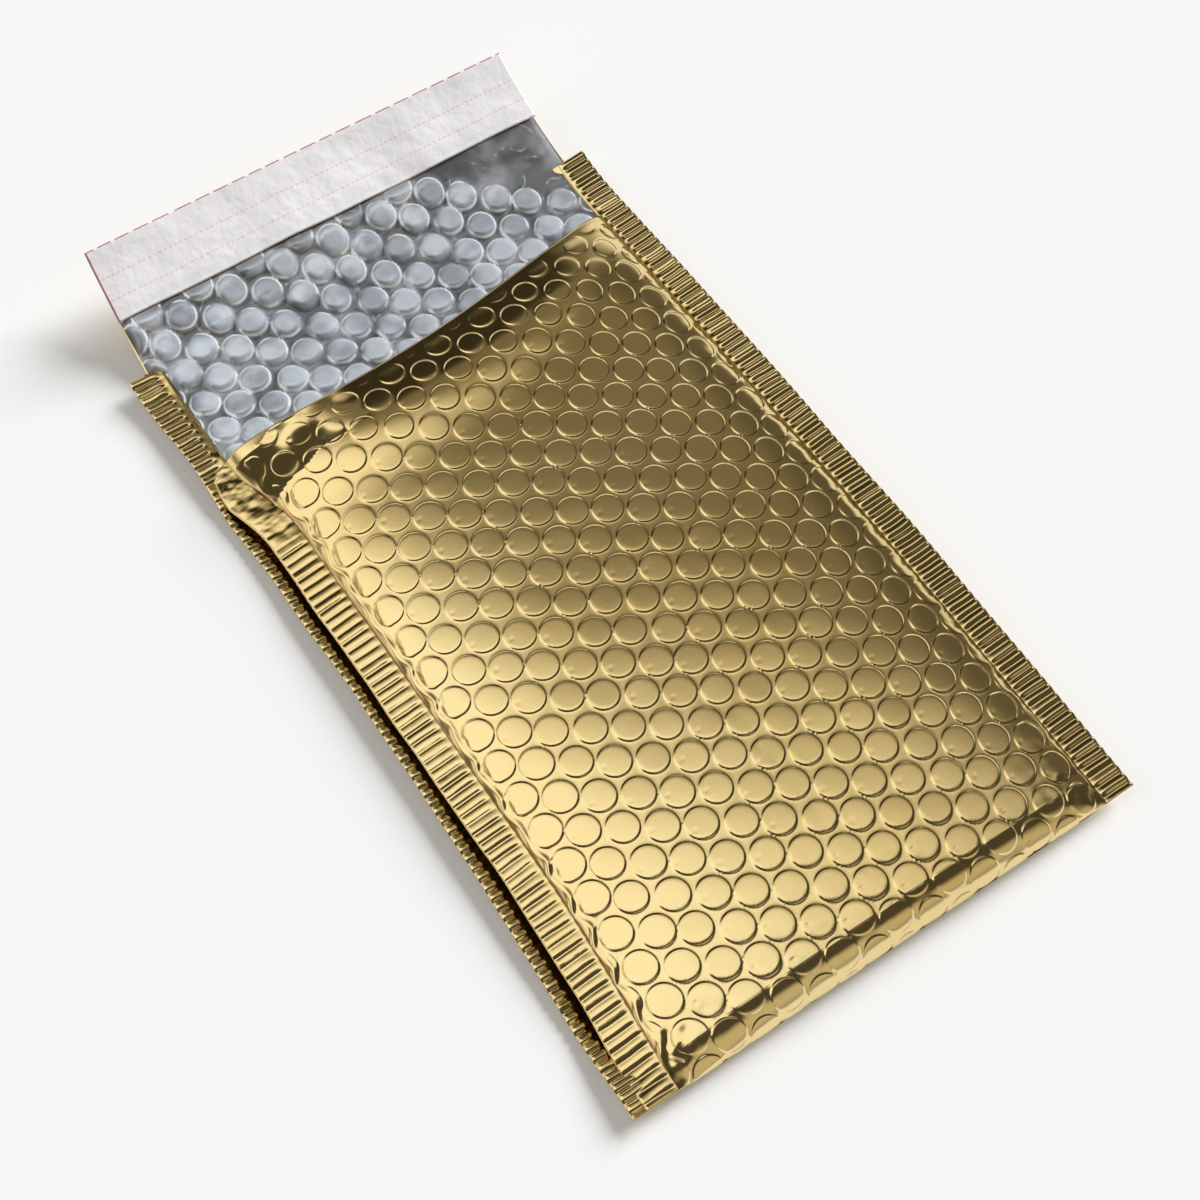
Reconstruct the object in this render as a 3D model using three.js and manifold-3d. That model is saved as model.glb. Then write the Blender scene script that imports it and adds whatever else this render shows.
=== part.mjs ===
import * as THREE from 'three';
import { mergeVertices } from 'three/addons/utils/BufferGeometryUtils.js';
import Module from 'manifold-3d';

// A padded envelope of metallised film with a bubble lining. It lies on its back, its mouth is open
// and its flap stands up a little. Millimetres: X across, Y from the bottom fold to the flap, Z up.
// Every shape is set out with Y from the bottom fold, and the whole is centred at the end.

// Outline
const envelopeWidth = 175;
const bodyLength = 287;
const flapReach = 39;
const flapRootWidth = 162;
const flapEndWidth = 158;
const flapRise = 22;
const flapBendRun = 25;

// Seams, left and right of the pocket, by how far they lie in from the sides. The left one wanders
// in from its corners.
const leftMargin = 17.5;
const leftMarginCorner = 14.5;
const leftMarginTop = 10.5;
const rightMargin = 9;
const leftSeamTopLength = 38;
const leftSeamCornerLength = 70;
const seamWeld = 2;
const sideSeamHeight = 4;
const sideSeamArch = 3.5;
const flangeEndHeight = 2.2;

// Mouth of the pocket: the front film is cut back in a curve that runs askew.
const mouthSetback = 35.5;
const mouthSkew = 17;
const mouthDip = 9;
const mouthMargin = 2;
const mouthCutDepth = 0.1;
const mouthCutHeight = 60;
const cutPast = 1;

// Filled shape of the pocket
const bottomFill = 6.5;
const mouthFill = 14;
const foldRadius = 6;
const crownPower = 3;
const crownShoulder = 0.6;
const backFlatness = 6;
const backSink = 1;
const pocketSpans = 16;
const foldSpans = 4;
const bodySpans = 8;
const bendSpans = 3;

// Crimped flanges
const crimpPitch = 3.4;
const crimpDepth = 0.8;
const crimpMargin = 1.2;
const plainRows = 10;
const plyThickness = 0.6;
const rightFlangeThickness = 1.1;
const rightFlangeCurl = 1.4;
const leftEdgeBow = 4.2;
const frontFlangeWidth = 10;
const frontFlangeStop = 44.5;
const frontFlangeStand = 1.15;
const frontFlangeDroop = 0.5;
const backFlangeSink = 0.35;
const backFlangeDrop = 3.8;
const flangeGapRun = 34;

// Walls
const filmWall = 0.6;
const liningWall = 1;
const fitGap = 0.3;
const liningMargin = 1;
const liningNeck = 15;
const sheetLap = 4;
const finestEdge = 0.05;

// Bubbles of the lining: columns along the length, every other one half a pitch along
const bubblePitch = 12.2;
const columnSpacing = 9.4;
const bubbleDiameter = 10;
const domeHeight = 2.2;
const domeFoot = 0.2;
const domeDraft = 1.5;
const domeSides = 6;
const liningBubblesInside = 14;

// Bubbles pressed through the front. The sheet was pulled askew, so its rows and columns bend.
const firstBubbleFromSeam = -2.1;
const firstBubbleFromMouth = -5.1;
const frontColumnStep = [8.68, -6.28];
const frontRowStep = [-0.09, -12.75];
const frontColumnBend = [0.027, 0.036];
const frontRowBend = [0.004, 0.032];
const frontCrossBend = [0.045, 0.021];
const embossHeight = 0.45;
const embossFoot = 0.15;
const embossDraft = 0.3;
const embossSides = 7;
const embossMargin = 6.5;
const plainBandAtMouth = 12;

// Closure on the flap
const linerWidth = 21;
const linerThickness = 0.4;
const adhesiveWidth = 14;
const adhesiveThickness = 0.4;
const adhesiveInset = 3;

const totalLength = bodyLength + flapReach;
const halfWidth = envelopeWidth / 2;
const leftSeam = leftMargin - halfWidth;
const leftSeamCorner = leftMarginCorner - halfWidth;
const leftSeamTop = leftMarginTop - halfWidth;
const rightSeam = halfWidth - rightMargin;
const mouthLength = bodyLength - mouthSetback;
const frontFlangeEnd = mouthLength - frontFlangeStop;
const flapBend = bodyLength - flapBendRun;
const mouthHalf = rightSeam - mouthMargin;
const ridgeSpacing = bodyLength / Math.round(bodyLength / crimpPitch);
const frontCrimpEnd = ridgeSpacing * Math.round(frontFlangeEnd / ridgeSpacing);
const liningInset = filmWall + fitGap;
const pocketInset = liningInset + liningWall;

const wasm = await Module();
wasm.setup();

const clamp01 = (value) => Math.min(1, Math.max(0, value));
const ease = (value) => clamp01(value) ** 2 * (3 - 2 * clamp01(value));
const mix = (from, to, share) => from + (to - from) * share;

// Height of the floor of the envelope, flat on the ground and then bent up into the flap
function rise(y) {
  return flapRise * Math.max(0, (y - flapBend) / (totalLength - flapBend)) ** 2;
}

// Height of the side seams over that floor
function seamLift(y) {
  const arch = sideSeamHeight + sideSeamArch * Math.sin(Math.PI * clamp01(y / mouthLength));
  return mix(arch, flangeEndHeight, ease((y - mouthLength) / (bodyLength - mouthLength)));
}

const seamHeight = (y) => rise(y) + seamLift(y);

function leftSeamAt(y) {
  const corner = (leftSeamCorner - leftSeam) * (1 - ease(y / leftSeamCornerLength));
  const top = (leftSeamTop - leftSeam) * ease((y - frontFlangeEnd) / leftSeamTopLength);
  return leftSeam + corner + top;
}

function mouthAt(x) {
  const share = x / mouthHalf;
  return mouthLength + (mouthSkew / 2) * share - mouthDip * (1 - share ** 2);
}

// The pocket's own coordinates: share runs from -1 at the left seam to 1 at the right one.
function across(share, y, inset) {
  const weld = inset > 0 ? seamWeld + inset : 0;
  return mix(leftSeamAt(y) + weld, rightSeam - weld, (share + 1) / 2);
}

function shareAt(x, y, inset) {
  const weld = inset > 0 ? seamWeld + inset : 0;
  const left = leftSeamAt(y) + weld;
  return (2 * (x - left)) / (rightSeam - weld - left) - 1;
}

// Quarter round at the bottom fold
function foldShare(y, inset) {
  const reach = clamp01((y - inset) / (foldRadius - inset));
  return Math.sqrt(Math.max(0, 1 - (1 - reach) ** 2));
}

function frontHeight(share, y, inset = 0) {
  const fill = mix(bottomFill, mouthFill, y / mouthLength) - inset;
  const crown = Math.max(0, 1 - Math.abs(share) ** crownPower) ** crownShoulder;
  return seamHeight(y) + fill * crown * foldShare(y, inset);
}

function backHeight(share, y, inset = 0) {
  const belly = (seamLift(y) + backSink - inset) * (1 - Math.abs(share) ** backFlatness);
  const drop = belly * foldShare(y, inset);
  return rise(y) + Math.max(inset, seamLift(y) - drop);
}

// A geometry becomes a solid once its shared corners are one and its flattened faces are gone.
function solid(geometry) {
  const bare = geometry.clone();
  bare.deleteAttribute('normal');
  bare.deleteAttribute('uv');
  const merged = mergeVertices(bare, 1e-4);
  const corners = merged.index.array;
  const kept = [];
  for (let i = 0; i < corners.length; i += 3) {
    const [a, b, c] = [corners[i], corners[i + 1], corners[i + 2]];
    if (a !== b && b !== c && c !== a) kept.push(a, b, c);
  }
  return new wasm.Manifold(new wasm.Mesh({
    numProp: 3,
    vertProperties: new Float32Array(merged.attributes.position.array),
    triVerts: new Uint32Array(kept),
  }));
}

// Faces between two lines that run the same way, the first one on the right. Closed lines are rings.
function zip(faces, right, left, closed = false) {
  const [rightSpans, leftSpans] = closed ? [right.length, left.length] : [right.length - 1, left.length - 1];
  let [i, j] = [0, 0];
  while (i < rightSpans || j < leftSpans) {
    const [a, b] = [right[i % right.length], left[j % left.length]];
    if (j >= leftSpans || (i < rightSpans && (i + 1) / rightSpans <= (j + 1) / leftSpans)) {
      faces.push([a, right[(i + 1) % right.length], b]);
      i += 1;
    } else {
      faces.push([a, left[(j + 1) % left.length], b]);
      j += 1;
    }
  }
}

function solidOfFaces(faces) {
  const geometry = new THREE.BufferGeometry();
  geometry.setAttribute('position', new THREE.Float32BufferAttribute(faces.flat(2), 3));
  return solid(geometry);
}

// A closed body between lines that run along Y, ordered from left to right, over and under it
function sheetBody(over, under) {
  const faces = [];
  const last = over.length - 1;
  for (let i = 0; i < last; i++) {
    zip(faces, over[i + 1], over[i]);
    zip(faces, under[i], under[i + 1]);
  }
  zip(faces, under[last], over[last]);
  zip(faces, over[0], under[0]);
  zip(faces, under.map((line) => line[0]), over.map((line) => line[0]));
  zip(faces, over.map((line) => line.at(-1)), under.map((line) => line.at(-1)));
  return solidOfFaces(faces);
}

// The closed body between two surfaces over one patch of columns and rows
function between(columns, rows, lower, upper) {
  const lines = (surface) => columns.map((column) => rows.map((row) => surface(column, row)));
  return sheetBody(lines(upper), lines(lower));
}

const steps = (from, to, count) => Array.from({ length: count + 1 }, (_, i) => mix(from, to, i / count));

// Columns crowd towards the seams, and rows towards the bottom fold, where the film turns fastest.
function pocketColumns() {
  return steps(-1, 1, pocketSpans).map((share) => Math.sin((share * Math.PI) / 2));
}

function pocketRows(inset, end) {
  const turned = steps(0, 1, foldSpans).map((share) => 1 - Math.cos((share * Math.PI) / 2));
  const fold = turned.map((share) => mix(inset, foldRadius, share));
  const body = steps(foldRadius, flapBend, bodySpans).slice(1);
  return [...fold, ...body, ...steps(flapBend, end, bendSpans).slice(1)];
}

// The whole filled pocket as one closed body, drawn in by an inset, with its top left to be cut
function pillow(inset, end) {
  const surface = (height) => (share, y) => [across(share, y, inset), y, height(share, y, inset)];
  return between(pocketColumns(), pocketRows(inset, end), surface(backHeight), surface(frontHeight));
}

// A pocket of one wall: a pillow, less the pillow inside it, with the front cut back at the mouth
function pocket(inset, wall) {
  const outside = pillow(inset, bodyLength);
  const inside = pillow(inset + wall, bodyLength + cutPast);
  return outside.subtract(inside).subtract(mouthCut());
}

// What the cut at the mouth takes away: all of the front above the seams, up to the end
function mouthCut() {
  const leftEdge = leftSeamTop + mouthMargin;
  const place = (x, share) => [x, mix(mouthAt(x), bodyLength + cutPast, share)];
  const floor = (x, share) => {
    const [, y] = place(x, share);
    const clear = rise(y) + pocketInset + mouthCutDepth;
    return [x, y, Math.max(seamHeight(y) - mouthCutDepth, clear)];
  };
  const lid = (x, share) => [...place(x, share), mouthCutHeight];
  return between(steps(leftEdge, mouthHalf, 10), steps(0, 1, 4), floor, lid);
}

// A flange strip from its weld line to its outer edge. It is plain up to the seam and a little past
// it, and then crimped in ridges across its width. A strip that lies on another is plain underneath.
function crimped(weld, outer, height, from, to, thickness, plainUnder = false) {
  const ridges = Math.round((to - from) / ridgeSpacing);
  const outwards = Math.sign(outer(from) - weld(from));
  const line = (edge, rows, wave, side) => steps(0, rows, rows).map((row) => {
    const y = mix(from, to, row / rows);
    const swing = (row % 2 === 0 ? -1 : 1) * (wave / 2);
    return [edge(y), y, height(edge(y), y) + swing + side * (thickness / 2)];
  });
  const past = (reach) => (y) => weld(y) + outwards * (seamWeld / 2 + reach);
  const plain = [weld, past(crimpMargin / 2)];
  const ridged = [past(crimpMargin), outer];
  const lines = (side, flat) => {
    const [rows, wave] = flat ? [plainRows, 0] : [2 * ridges, crimpDepth];
    const all = [...plain.map((edge) => line(edge, plainRows, 0, side)),
      ...ridged.map((edge) => line(edge, rows, wave, side))];
    return outwards < 0 ? all.reverse() : all;
  };
  return sheetBody(lines(1, false), lines(-1, plainUnder));
}

// A plain strip of film between two edge lines
function plainStrip(left, right, height, from, to, thickness) {
  const surface = (side) => (share, y) => {
    const x = mix(left(y), right(y), share);
    return [x, y, height(x, y) + side * (thickness / 2)];
  };
  return between([0, 1], steps(from, to, 6), surface(-1), surface(1));
}

// Flanges. The left side gapes: the front strip stands off the back strip, and both droop outwards.
// The right side curls up a little.
const leftOuter = (y) => -halfWidth + leftEdgeBow * Math.sin(Math.PI * clamp01(y / bodyLength));
const gape = (y) => ease(y / flangeGapRun) * ease((mouthLength - y) / flangeGapRun);

function backFlangeHeight(x, y) {
  const out = clamp01((leftSeamAt(y) - x) / (leftSeamAt(y) - leftOuter(y)));
  return seamHeight(y) - backFlangeSink * gape(y) - backFlangeDrop * gape(y) * out;
}

function frontFlangeHeight(x, y) {
  const out = clamp01((leftSeamAt(y) - x) / frontFlangeWidth);
  return seamHeight(y) + mix(plyThickness / 4, frontFlangeStand, gape(y)) - frontFlangeDroop * gape(y) * out;
}

const leftWeld = (y) => leftSeamAt(y) + seamWeld / 2;

function leftBackFlange() {
  return crimped(leftWeld, leftOuter, backFlangeHeight, 0, bodyLength, plyThickness);
}

// The front strip is crimped up to the mouth's corner, where it runs smooth into the front.
function leftFrontFlange() {
  const outer = (y) => leftSeamAt(y) - frontFlangeWidth;
  const crimp = crimped(leftWeld, outer, frontFlangeHeight, 0, frontCrimpEnd, plyThickness, true);
  const corner = (y) => Math.min(outer(frontCrimpEnd), leftSeamAt(y) - seamWeld);
  const smooth = plainStrip(corner, leftWeld, frontFlangeHeight, frontCrimpEnd - seamWeld,
    mouthLength - mouthDip, plyThickness);
  return crimp.add(smooth);
}

function rightFlange() {
  const curled = (x, y) => seamHeight(y) + rightFlangeCurl * clamp01((x - rightSeam) / rightMargin);
  return crimped(() => rightSeam - seamWeld / 2, () => halfWidth, curled, 0, bodyLength, rightFlangeThickness);
}

const flapHalf = (y) => mix(flapRootWidth, flapEndWidth, clamp01((y - bodyLength) / flapReach)) / 2;

// A layer lying on the flap, so much over its outer face
function flapLayer(left, right, from, to, floor, thickness, count = 5) {
  const surface = (level) => (share, y) => [mix(left(y), right(y), share), y, rise(y) + level];
  return between([0, 1], steps(from, to, count), surface(floor), surface(floor + thickness));
}

// Where a row and a column, whole or part, lie on the lining and on the front
const liningPlace = (row, column) => [columnSpacing * (column + 0.5), -bubblePitch * (row + column / 2)];

const frontPlace = (row, column) => [leftSeam + firstBubbleFromSeam, mouthLength + firstBubbleFromMouth]
  .map((origin, axis) => origin + frontColumnStep[axis] * column + frontRowStep[axis] * row
    + frontColumnBend[axis] * column ** 2 + frontRowBend[axis] * row ** 2 + frontCrossBend[axis] * row * column);

// The bubbles, by row and column, that lie between two lines across the envelope and two along it
function bubblesWithin(place, columns, left, right, from, to) {
  const found = [];
  const rows = Math.ceil(totalLength / bubblePitch);
  for (let column = columns[0]; column <= columns[1]; column++) {
    for (let row = -rows; row <= rows; row++) {
      const [x, y] = place(row, column);
      if (x > left(y) && x < right(y) && y > from(x) && y < to(x)) found.push([row, column]);
    }
  }
  return found;
}

// The six corners where a bubble's cell meets its neighbours' cells, anticlockwise, in rows and columns
const third = 1 / 3;
const cellCorners = [[-third, 2 * third], [-2 * third, third], [-third, -third],
  [third, -2 * third], [2 * third, -third], [third, third]];

const ring = (radius, sides) => steps(0, 2 * Math.PI, sides).slice(0, sides)
  .map((angle) => [radius * Math.cos(angle), radius * Math.sin(angle)]);

// A bubble sheet lying on a surface: every cell rises from its corners over rings to a flat top.
// Rings are [radius, height, sides], from the foot to the top. The sheet's underside is sunk in.
function bubbleSheet(place, bubbles, heightAt, valley, rings, sink) {
  const faces = [];
  const edges = new Map();
  const name = ([x, y]) => `${Math.round(x * 100)},${Math.round(y * 100)}`;
  for (const [row, column] of bubbles) {
    const centre = place(row, column);
    const corners = cellCorners.map(([down, along]) => place(row + down, column + along));
    const at = (points, level) => points.map(([x, y]) => [x, y, heightAt(x, y) + level]);
    const round = (radius, sides) => ring(radius, sides).map(([dx, dy]) => [centre[0] + dx, centre[1] + dy]);
    const over = at(corners, valley);
    const under = at(corners, -sink);
    const [middle] = at([centre], -sink);
    let outer = over;
    for (const [radius, height, sides] of rings) {
      const inner = at(round(radius, sides), height);
      zip(faces, outer, inner, true);
      outer = inner;
    }
    for (let i = 1; i + 1 < outer.length; i++) faces.push([outer[0], outer[i], outer[i + 1]]);
    for (let i = 0; i < over.length; i++) {
      const next = (i + 1) % over.length;
      faces.push([under[next], under[i], middle]);
      const wall = [[over[i], under[i], under[next]], [over[i], under[next], over[next]]];
      const [forth, back] = [name(over[i]) + ' ' + name(over[next]), name(over[next]) + ' ' + name(over[i])];
      if (edges.has(back)) edges.delete(back);
      else edges.set(forth, wall);
    }
  }
  faces.push(...[...edges.values()].flat());
  return solidOfFaces(faces);
}

// The film: front, bottom fold, back and flap in one sheet, welded and crimped down both sides
function outerFilm() {
  const film = pocket(0, filmWall).add(leftBackFlange()).add(leftFrontFlange()).add(rightFlange())
    .add(flapLayer((y) => -flapHalf(y), flapHalf, bodyLength - sheetLap, totalLength, 0, filmWall));
  const frontAt = (x, y) => frontHeight(shareAt(x, y, 0), y);
  const columns = [-1, Math.ceil(envelopeWidth / columnSpacing)];
  const bubbles = bubblesWithin(frontPlace, columns, (y) => leftSeamAt(y) + embossMargin,
    () => rightSeam - embossMargin, () => foldRadius + embossMargin, (x) => mouthAt(x) - plainBandAtMouth);
  const rings = [[bubbleDiameter / 2 - embossDraft, embossFoot + embossHeight, embossSides]];
  return film.add(bubbleSheet(frontPlace, bubbles, frontAt, embossFoot, rings, filmWall / 2));
}

// The lining: a bubble sheet that follows the film inside and runs on over the flap
function bubbleLining() {
  const radius = bubbleDiameter / 2;
  let lining = pocket(liningInset, liningWall);
  const shoulder = bodyLength + fitGap;
  const edge = (y) => flapHalf(y) - liningMargin;
  lining = lining.add(flapLayer(() => leftSeamTop + liningNeck, () => rightSeam - liningNeck,
    bodyLength - sheetLap, shoulder + sheetLap, liningInset, liningWall));
  lining = lining.add(flapLayer((y) => -edge(y), edge, shoulder, totalLength - liningMargin, liningInset, liningWall));
  const reach = Math.ceil(halfWidth / columnSpacing);
  const cell = bubblePitch / 2;
  const inside = liningNeck + cell;
  const bubbles = bubblesWithin(liningPlace, [-reach, reach],
    (y) => (y < shoulder + cell ? leftSeamTop + inside : cell - edge(y)),
    (y) => (y < shoulder + cell ? rightSeam - inside : edge(y) - cell),
    (x) => mouthAt(x) - liningBubblesInside, () => totalLength - linerWidth - cell);
  const rings = [[radius, domeFoot, domeSides], [radius - domeDraft, domeHeight, domeSides]];
  const liningAt = (x, y) => rise(y) + pocketInset;
  return lining.add(bubbleSheet(liningPlace, bubbles, liningAt, domeFoot / 2, rings, liningWall / 2));
}

const closureFloor = pocketInset + fitGap;

function adhesiveStrip() {
  const edge = (y) => flapHalf(y) - adhesiveInset;
  const end = totalLength - adhesiveInset;
  return flapLayer((y) => -edge(y), edge, end - adhesiveWidth, end, closureFloor, adhesiveThickness, 4);
}

function releaseLiner() {
  const floor = closureFloor + adhesiveThickness + fitGap;
  return flapLayer((y) => -flapHalf(y), flapHalf, totalLength - linerWidth, totalLength, floor, linerThickness, 5);
}

function mesh(name, body, colour, roughness, metalness) {
  const { vertProperties, triVerts } = body.asOriginal().simplify(finestEdge).getMesh();
  const geometry = new THREE.BufferGeometry();
  geometry.setAttribute('position', new THREE.BufferAttribute(vertProperties, 3));
  geometry.setIndex(new THREE.BufferAttribute(triVerts, 1));
  geometry.computeVertexNormals();
  const piece = new THREE.Mesh(geometry, new THREE.MeshStandardMaterial({ color: colour, roughness, metalness }));
  piece.name = name;
  return piece;
}

const envelope = new THREE.Group();
envelope.add(mesh('outer_film', outerFilm(), 0xb89c56, 0.3, 1));
envelope.add(mesh('bubble_lining', bubbleLining(), 0xaeb2b8, 0.25, 0.2));
envelope.add(mesh('adhesive_strip', adhesiveStrip(), 0xd9d2b8, 0.6, 0));
envelope.add(mesh('release_liner', releaseLiner(), 0xdedee4, 0.5, 0));
envelope.position.y = -totalLength / 2;

export default envelope;
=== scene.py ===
import math

import bpy
import numpy as np
from mathutils import Matrix, Vector


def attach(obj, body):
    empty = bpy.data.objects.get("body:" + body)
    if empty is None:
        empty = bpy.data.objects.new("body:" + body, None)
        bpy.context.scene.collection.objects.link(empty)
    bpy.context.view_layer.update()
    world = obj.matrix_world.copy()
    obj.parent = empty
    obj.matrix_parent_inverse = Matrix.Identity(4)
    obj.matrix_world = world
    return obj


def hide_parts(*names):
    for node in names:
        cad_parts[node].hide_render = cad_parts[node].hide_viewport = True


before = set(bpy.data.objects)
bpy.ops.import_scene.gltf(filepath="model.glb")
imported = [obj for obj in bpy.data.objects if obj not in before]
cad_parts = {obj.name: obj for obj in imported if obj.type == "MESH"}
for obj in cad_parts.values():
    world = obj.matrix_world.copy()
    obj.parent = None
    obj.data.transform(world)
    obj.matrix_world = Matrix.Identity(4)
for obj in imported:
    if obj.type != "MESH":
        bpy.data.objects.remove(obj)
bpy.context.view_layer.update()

print("frame loaded")

# Sizes in millimetres, with Y from the bottom fold, as the solids have them
mm = 0.001
body = dict(width=175.0, length=287.0, flap=39.0, flapRoot=162.0, flapEnd=158.0, flapRise=22.0, bend=262.0)
seams = dict(left=-70.0, leftCorner=-73.0, leftTop=-77.0, topFrom=207.0, topRun=38.0, cornerRun=70.0,
             right=78.5, height=4.0, arch=3.5, end=2.2, bow=4.2)
mouth = dict(length=251.5, half=76.5, skew=17.0, dip=9.0, near=245.0)
fill = dict(bottom=6.5, mouth=14.0, fold=6.0, power=3.0, shoulder=0.6, flatness=6.0, sink=1.0)
total = body["length"] + body["flap"]
shiftY = -total / 2
half = body["width"] / 2


def clamp(v):
    return np.clip(v, 0.0, 1.0)


def ease(v):
    v = clamp(v)
    return v * v * (3 - 2 * v)


def blend(a, b, share):
    return a + (b - a) * share


def hill(distance, width):  # a smooth bump, 1 at no distance
    return np.exp(-(distance / width) ** 2)


def rise(y):
    return body["flapRise"] * np.maximum(0, (y - body["bend"]) / (total - body["bend"])) ** 2


def seamLift(y):
    arch = seams["height"] + seams["arch"] * np.sin(math.pi * clamp(y / mouth["length"]))
    return blend(arch, seams["end"], ease((y - mouth["length"]) / (body["length"] - mouth["length"])))


def leftSeam(y):
    corner = (seams["leftCorner"] - seams["left"]) * (1 - ease(y / seams["cornerRun"]))
    top = (seams["leftTop"] - seams["left"]) * ease((y - seams["topFrom"]) / seams["topRun"])
    return seams["left"] + corner + top


def mouthAt(x):
    share = x / mouth["half"]
    return mouth["length"] + mouth["skew"] / 2 * share - mouth["dip"] * (1 - share ** 2)


def across(share, y, inset=0.0):
    return blend(leftSeam(y) + inset, seams["right"] - inset, (share + 1) / 2)


def foldShare(y, inset=0.0):
    reach = clamp((y - inset) / (fill["fold"] - inset))
    return np.sqrt(np.maximum(0, 1 - (1 - reach) ** 2))


def crown(share):
    return np.maximum(0, 1 - np.abs(share) ** fill["power"]) ** fill["shoulder"]


def frontHeight(share, y, inset=0.0):
    depth = blend(fill["bottom"], fill["mouth"], y / mouth["length"]) - inset
    return rise(y) + seamLift(y) + depth * crown(share) * foldShare(y, inset)


def backHeight(share, y, inset=0.0):
    drop = (seamLift(y) + fill["sink"] - inset) * (1 - np.abs(share) ** fill["flatness"])
    return rise(y) + np.maximum(inset, seamLift(y) - drop * foldShare(y, inset))


def smoothNoise(x, y, scale, seed):  # a few crossing sine waves, between -1 and 1
    turns = np.random.default_rng(seed).uniform(0, 2 * math.pi, (6, 2))
    waves = [np.sin((x * math.cos(a) + y * math.sin(a)) * (0.7 + 0.13 * k) * 2 * math.pi / scale + p)
             for k, (a, p) in enumerate(turns)]
    return sum(waves) / 3.2


# Node trees. A Wire is one socket that arithmetic can be done on, in a material or in a geometry tree.
class Wire:
    def __init__(self, net, socket):
        self.net, self.socket = net, socket

    def of(self, name):
        return Wire(self.net, self.socket.node.outputs[name])

    def __add__(self, other):
        return self.net.math("ADD", self, other)

    def __radd__(self, other):
        return self.net.math("ADD", other, self)

    def __sub__(self, other):
        return self.net.math("SUBTRACT", self, other)

    def __rsub__(self, other):
        return self.net.math("SUBTRACT", other, self)

    def __mul__(self, other):
        return self.net.math("MULTIPLY", self, other)

    def __rmul__(self, other):
        return self.net.math("MULTIPLY", other, self)

    def __truediv__(self, other):
        return self.net.math("DIVIDE", self, other)

    def __pow__(self, other):
        return self.net.math("POWER", self, other)

    def __gt__(self, other):
        return self.net.math("GREATER_THAN", self, other)


class Net:
    def __init__(self, tree):
        self.tree = tree

    def node(self, kind, settings=None, values=None, out=0):
        made = self.tree.nodes.new(kind)
        for key, value in (settings or {}).items():
            setattr(made, key, value)
        for key, value in (values or {}).items():
            if isinstance(value, Wire):
                self.tree.links.new(value.socket, made.inputs[key])
            else:
                made.inputs[key].default_value = value
        return Wire(self, made.outputs[out])

    def math(self, operation, a, b=0.0):
        return self.node("ShaderNodeMath", {"operation": operation}, {0: a, 1: b})

    def vector(self, operation, a, b=(0, 0, 0), out=0):
        return self.node("ShaderNodeVectorMath", {"operation": operation}, {0: a, 1: b}, out)

    def scaled(self, a, factor):
        return self.node("ShaderNodeVectorMath", {"operation": "SCALE"}, {0: a, "Scale": factor})

    def parts(self, vector):
        return self.node("ShaderNodeSeparateXYZ", {}, {0: vector})

    def step(self, value, low, high):  # 0 below low, 1 above high, smooth between
        return self.node("ShaderNodeMapRange", {"interpolation_type": "SMOOTHSTEP"},
                         {"Value": value, "From Min": low, "From Max": high})

    def mixed(self, share, a, b):
        colour = {"data_type": "RGBA"}
        return self.node("ShaderNodeMix", colour, {0: share, 6: a, 7: b}, 2)

    def noise(self, where, scale, detail=2.0, rough=0.5):
        values = {"Vector": where, "Scale": scale, "Detail": detail, "Roughness": rough}
        return self.node("ShaderNodeTexNoise", {}, values)

    def mark(self, name, out="Fac"):  # a value of the sheet, read in a material
        return self.node("ShaderNodeAttribute", {"attribute_name": name}, out=out)

    def stored(self, name, kind="FLOAT"):  # a value of the sheet, read in a geometry tree
        return self.node("GeometryNodeInputNamedAttribute", {"data_type": kind}, {"Name": name})

    def keep(self, geometry, name, value):
        return self.node("GeometryNodeStoreNamedAttribute", {"data_type": "FLOAT", "domain": "POINT"},
                         {"Geometry": geometry, "Name": name, "Value": value})


def opened(name, sockets):  # a geometry tree with its named inputs
    tree = bpy.data.node_groups.new(name, "GeometryNodeTree")
    tree.interface.new_socket(name="Geometry", in_out="OUTPUT", socket_type="NodeSocketGeometry")
    for title, kind in [("Geometry", "Geometry")] + sockets:
        tree.interface.new_socket(name=title, in_out="INPUT", socket_type="NodeSocket" + kind)
    net = Net(tree)
    return net, net.node("NodeGroupInput")


def closed(net, geometry, entry):  # ends the tree in real geometry with its material
    real = net.node("GeometryNodeRealizeInstances", {}, {"Geometry": geometry})
    done = net.node("GeometryNodeSetMaterial", {}, {"Geometry": real, "Material": entry.of("Material")})
    leave = net.tree.nodes.new("NodeGroupOutput")
    net.tree.links.new(done.socket, leave.inputs[0])
    return net.tree


def baked(obj, tree, values, thickness=0.0):  # runs a tree over an object and keeps the plain mesh
    modifier = obj.modifiers.new(tree.name, "NODES")
    modifier.node_group = tree
    ids = {item.name: item.identifier for item in tree.interface.items_tree if item.in_out == "INPUT"}
    for name, value in values.items():
        modifier[ids[name]] = value
    if thickness:
        wall = obj.modifiers.new("wall", "SOLIDIFY")
        wall.thickness = thickness * mm
        wall.offset = 0.0
    bpy.context.view_layer.update()
    plain = bpy.data.meshes.new_from_object(obj.evaluated_get(bpy.context.evaluated_depsgraph_get()))
    obj.modifiers.clear()
    obj.data = plain
    obj.data.name = obj.name
    obj.data.polygons.foreach_set("use_smooth", np.ones(len(plain.polygons), bool))
    return obj


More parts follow.
